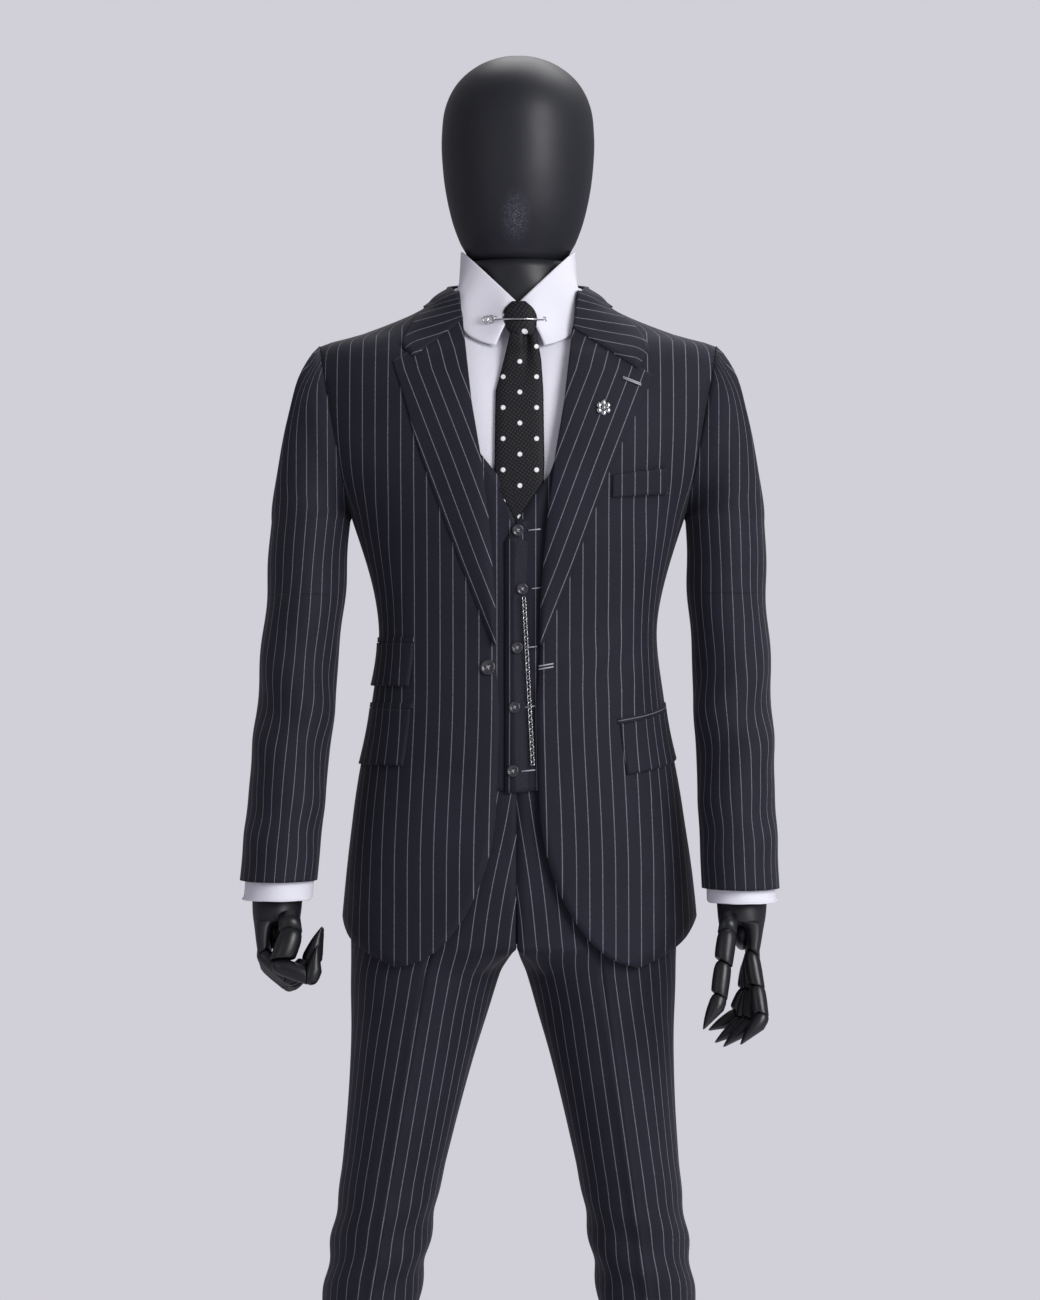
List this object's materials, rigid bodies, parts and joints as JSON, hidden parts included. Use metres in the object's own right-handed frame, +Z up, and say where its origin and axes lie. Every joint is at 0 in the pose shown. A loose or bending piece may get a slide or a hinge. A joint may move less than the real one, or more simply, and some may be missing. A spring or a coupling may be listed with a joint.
{
  "type": "full body mannequin",
  "caption": "Full-size standing menswear mannequin with a plain egg head, jointed arms and fingers, wearing a pinstriped three-piece suit, on a flat base plate.",
  "frame": {"origin": "under the neck, on the underside of the anti-slip pad of the base plate, which rests on the floor", "axes": "+Z up through the head; the figure faces -Y; its left hand is at +X"},
  "size_m": [0.6322, 0.38, 1.88],
  "materials": {
    "shell": "matte black spray lacquer",
    "jointed_hands": "satin black moulding",
    "base_steel": "black powder coat",
    "pad_rubber": "matte",
    "rod_steel": "satin",
    "suit_wool": "dark navy worsted with a pale pinstripe",
    "shirt_cotton": "white poplin",
    "tie_silk": "black textured silk with small white dots",
    "bright_metal": "polished",
    "button_horn": "polished black"
  },
  "bodies": {
    "body": {"base_plate": "base_steel", "base_pad": "pad_rubber", "foot_rod": "rod_steel", "left_leg": "shell", "right_leg": "shell", "hips": "shell", "torso": "shell", "shirt": "shirt_cotton", "shirt_collar": "shirt_cotton", "tie": "tie_silk", "collar_bar": "bright_metal", "waistcoat": "suit_wool", "buttons": "button_horn", "watch_chain": "bright_metal", "jacket": "suit_wool", "lapels": "suit_wool", "pocket_flaps": "suit_wool", "lapel_pin": "bright_metal", "trousers": "suit_wool"},
    "head": {"head": "shell"},
    "left_upper_arm": {"left_upper_arm": "shell", "left_sleeve": "suit_wool"},
    "left_forearm": {"left_forearm": "shell", "left_shirt_cuff": "shirt_cotton"},
    "left_hand": {"left_palm": "jointed_hands"},
    "left_index_near": {"left_index_near": "jointed_hands"},
    "left_index_middle": {"left_index_middle": "jointed_hands"},
    "left_index_tip": {"left_index_tip": "jointed_hands"},
    "left_long_near": {"left_long_near": "jointed_hands"},
    "left_long_middle": {"left_long_middle": "jointed_hands"},
    "left_long_tip": {"left_long_tip": "jointed_hands"},
    "left_ring_near": {"left_ring_near": "jointed_hands"},
    "left_ring_middle": {"left_ring_middle": "jointed_hands"},
    "left_ring_tip": {"left_ring_tip": "jointed_hands"},
    "left_little_near": {"left_little_near": "jointed_hands"},
    "left_little_middle": {"left_little_middle": "jointed_hands"},
    "left_little_tip": {"left_little_tip": "jointed_hands"},
    "left_thumb_base": {"left_thumb_base": "jointed_hands"},
    "left_thumb_middle": {"left_thumb_middle": "jointed_hands"},
    "left_thumb_tip": {"left_thumb_tip": "jointed_hands"},
    "right_upper_arm": {"right_upper_arm": "shell", "right_sleeve": "suit_wool"},
    "right_forearm": {"right_forearm": "shell", "right_shirt_cuff": "shirt_cotton"},
    "right_hand": {"right_palm": "jointed_hands"},
    "right_index_near": {"right_index_near": "jointed_hands"},
    "right_index_middle": {"right_index_middle": "jointed_hands"},
    "right_index_tip": {"right_index_tip": "jointed_hands"},
    "right_long_near": {"right_long_near": "jointed_hands"},
    "right_long_middle": {"right_long_middle": "jointed_hands"},
    "right_long_tip": {"right_long_tip": "jointed_hands"},
    "right_ring_near": {"right_ring_near": "jointed_hands"},
    "right_ring_middle": {"right_ring_middle": "jointed_hands"},
    "right_ring_tip": {"right_ring_tip": "jointed_hands"},
    "right_little_near": {"right_little_near": "jointed_hands"},
    "right_little_middle": {"right_little_middle": "jointed_hands"},
    "right_little_tip": {"right_little_tip": "jointed_hands"},
    "right_thumb_base": {"right_thumb_base": "jointed_hands"},
    "right_thumb_middle": {"right_thumb_middle": "jointed_hands"},
    "right_thumb_tip": {"right_thumb_tip": "jointed_hands"}
  },
  "joints": [
    {"name": "head_turn", "type": "hinge", "parent": "body", "child": "head", "pos_m": [0, 0, 1.636], "axis": [0, 0, 1], "range_deg": [-60, 60]},
    {"name": "left_shoulder_swing", "type": "hinge", "parent": "body", "child": "left_upper_arm", "pos_m": [0.21706, 0, 1.44935], "axis": [-0.9843, 0, 0.1766], "range_deg": [-8, 60]},
    {"name": "left_elbow", "type": "hinge", "parent": "left_upper_arm", "child": "left_forearm", "pos_m": [0.24921, -0.022, 1.16768], "axis": [-0.9994, 0, -0.0349], "range_deg": [-10, 66], "deforming": ["left_sleeve"]},
    {"name": "left_wrist_turn", "type": "hinge", "parent": "left_forearm", "child": "left_hand", "pos_m": [0.2587, -0.08974, 0.89616], "axis": [-0.0339, 0.2419, 0.9697], "range_deg": [-80, 80]},
    {"name": "left_index_knuckle", "type": "hinge", "parent": "left_hand", "child": "left_index_near", "pos_m": [0.26706, -0.14005, 0.82857], "axis": [0.0084, 0.9703, -0.2418], "range_deg": [-3, 65]},
    {"name": "left_index_middle_joint", "type": "hinge", "parent": "left_index_near", "child": "left_index_middle", "pos_m": [0.27309, -0.14936, 0.79139], "axis": [0.0084, 0.9703, -0.2418], "range_deg": [-2, 88]},
    {"name": "left_index_tip_joint", "type": "hinge", "parent": "left_index_middle", "child": "left_index_tip", "pos_m": [0.27696, -0.15708, 0.76057], "axis": [0.0084, 0.9703, -0.2418], "range_deg": [-38, 0]},
    {"name": "left_long_knuckle", "type": "hinge", "parent": "left_hand", "child": "left_long_near", "pos_m": [0.26724, -0.11909, 0.82335], "axis": [0.0084, 0.9703, -0.2418], "range_deg": [-12, 56]},
    {"name": "left_long_middle_joint", "type": "hinge", "parent": "left_long_near", "child": "left_long_middle", "pos_m": [0.2672, -0.12876, 0.78453], "axis": [0.0084, 0.9703, -0.2418], "range_deg": [-6, 84]},
    {"name": "left_long_tip_joint", "type": "hinge", "parent": "left_long_middle", "child": "left_long_tip", "pos_m": [0.26372, -0.13666, 0.75268], "axis": [0.0084, 0.9703, -0.2418], "range_deg": [-34, 4]},
    {"name": "left_ring_knuckle", "type": "hinge", "parent": "left_hand", "child": "left_ring_near", "pos_m": [0.26743, -0.09813, 0.81812], "axis": [0.0084, 0.9703, -0.2418], "range_deg": [-16, 52]},
    {"name": "left_ring_middle_joint", "type": "hinge", "parent": "left_ring_near", "child": "left_ring_middle", "pos_m": [0.26471, -0.10737, 0.78095], "axis": [0.0084, 0.9703, -0.2418], "range_deg": [-10, 80]},
    {"name": "left_ring_tip_joint", "type": "hinge", "parent": "left_ring_middle", "child": "left_ring_tip", "pos_m": [0.25701, -0.11474, 0.75112], "axis": [0.0084, 0.9703, -0.2418], "range_deg": [-32, 6]},
    {"name": "left_little_knuckle", "type": "hinge", "parent": "left_hand", "child": "left_little_near", "pos_m": [0.26761, -0.07717, 0.8129], "axis": [0.0084, 0.9703, -0.2418], "range_deg": [-22, 46]},
    {"name": "left_little_middle_joint", "type": "hinge", "parent": "left_little_near", "child": "left_little_middle", "pos_m": [0.26174, -0.08512, 0.78079], "axis": [0.0084, 0.9703, -0.2418], "range_deg": [-14, 76]},
    {"name": "left_little_tip_joint", "type": "hinge", "parent": "left_little_middle", "child": "left_little_tip", "pos_m": [0.25044, -0.09115, 0.7562], "axis": [0.0084, 0.9703, -0.2418], "range_deg": [-30, 8]},
    {"name": "left_thumb_root", "type": "hinge", "parent": "left_hand", "child": "left_thumb_base", "pos_m": [0.23818, -0.15277, 0.85342], "axis": [0.0084, 0.9703, -0.2418], "range_deg": [-25, 30]},
    {"name": "left_thumb_middle_joint", "type": "hinge", "parent": "left_thumb_base", "child": "left_thumb_middle", "pos_m": [0.23313, -0.16135, 0.81883], "axis": [0.0084, 0.9703, -0.2418], "range_deg": [0, 90]},
    {"name": "left_thumb_tip_joint", "type": "hinge", "parent": "left_thumb_middle", "child": "left_thumb_tip", "pos_m": [0.2278, -0.1704, 0.78231], "axis": [0.0084, 0.9703, -0.2418], "range_deg": [-12, 78]},
    {"name": "right_shoulder_swing", "type": "hinge", "parent": "body", "child": "right_upper_arm", "pos_m": [-0.21706, 0, 1.44935], "axis": [-0.9843, 0, -0.1766], "range_deg": [-8, 60]},
    {"name": "right_elbow", "type": "hinge", "parent": "right_upper_arm", "child": "right_forearm", "pos_m": [-0.2565, -0.022, 1.16768], "axis": [-0.9969, 0, 0.0785], "range_deg": [-10, 66], "deforming": ["right_sleeve"]},
    {"name": "right_wrist_turn", "type": "hinge", "parent": "right_forearm", "child": "right_hand", "pos_m": [-0.27782, -0.08974, 0.89684], "axis": [-0.0761, -0.2419, -0.9673], "range_deg": [-80, 80]},
    {"name": "right_index_knuckle", "type": "hinge", "parent": "right_hand", "child": "right_index_near", "pos_m": [-0.28913, -0.14005, 0.82967], "axis": [0.019, -0.9703, 0.2412], "range_deg": [-64, 4]},
    {"name": "right_index_middle_joint", "type": "hinge", "parent": "right_index_near", "child": "right_index_middle", "pos_m": [-0.25957, -0.14556, 0.80515], "axis": [0.019, -0.9703, 0.2412], "range_deg": [-88, 2]},
    {"name": "right_index_tip_joint", "type": "hinge", "parent": "right_index_middle", "child": "right_index_tip", "pos_m": [-0.238, -0.13946, 0.828], "axis": [0.019, -0.9703, 0.2412], "range_deg": [-14, 24]},
    {"name": "right_long_knuckle", "type": "hinge", "parent": "right_hand", "child": "right_long_near", "pos_m": [-0.28954, -0.11909, 0.82446], "axis": [0.019, -0.9703, 0.2412], "range_deg": [-66, 2]},
    {"name": "right_long_middle_joint", "type": "hinge", "parent": "right_long_near", "child": "right_long_middle", "pos_m": [-0.25818, -0.1245, 0.80022], "axis": [0.019, -0.9703, 0.2412], "range_deg": [-88, 2]},
    {"name": "right_long_tip_joint", "type": "hinge", "parent": "right_long_middle", "child": "right_long_tip", "pos_m": [-0.23681, -0.11804, 0.82452], "axis": [0.019, -0.9703, 0.2412], "range_deg": [-14, 24]},
    {"name": "right_ring_knuckle", "type": "hinge", "parent": "right_hand", "child": "right_ring_near", "pos_m": [-0.28995, -0.09813, 0.81925], "axis": [0.019, -0.9703, 0.2412], "range_deg": [-66, 2]},
    {"name": "right_ring_middle_joint", "type": "hinge", "parent": "right_ring_near", "child": "right_ring_middle", "pos_m": [-0.25984, -0.10332, 0.79598], "axis": [0.019, -0.9703, 0.2412], "range_deg": [-86, 4]},
    {"name": "right_ring_tip_joint", "type": "hinge", "parent": "right_ring_middle", "child": "right_ring_tip", "pos_m": [-0.2385, -0.09728, 0.8186], "axis": [0.019, -0.9703, 0.2412], "range_deg": [-14, 24]},
    {"name": "right_little_knuckle", "type": "hinge", "parent": "right_hand", "child": "right_little_near", "pos_m": [-0.29035, -0.07717, 0.81404], "axis": [0.019, -0.9703, 0.2412], "range_deg": [-64, 4]},
    {"name": "right_little_middle_joint", "type": "hinge", "parent": "right_little_near", "child": "right_little_middle", "pos_m": [-0.26476, -0.08195, 0.7928], "axis": [0.019, -0.9703, 0.2412], "range_deg": [-84, 6]},
    {"name": "right_little_tip_joint", "type": "hinge", "parent": "right_little_middle", "child": "right_little_tip", "pos_m": [-0.2447, -0.07697, 0.81128], "axis": [0.019, -0.9703, 0.2412], "range_deg": [-14, 24]},
    {"name": "right_thumb_root", "type": "hinge", "parent": "right_hand", "child": "right_thumb_base", "pos_m": [-0.25918, -0.15277, 0.85324], "axis": [0.019, -0.9703, 0.2412], "range_deg": [0, 55]},
    {"name": "right_thumb_middle_joint", "type": "hinge", "parent": "right_thumb_base", "child": "right_thumb_middle", "pos_m": [-0.27112, -0.16118, 0.82033], "axis": [0.019, -0.9703, 0.2412], "range_deg": [-90, 0]},
    {"name": "right_thumb_tip_joint", "type": "hinge", "parent": "right_thumb_middle", "child": "right_thumb_tip", "pos_m": [-0.23528, -0.16356, 0.80794], "axis": [0.019, -0.9703, 0.2412], "range_deg": [-90, 0]}
  ]
}
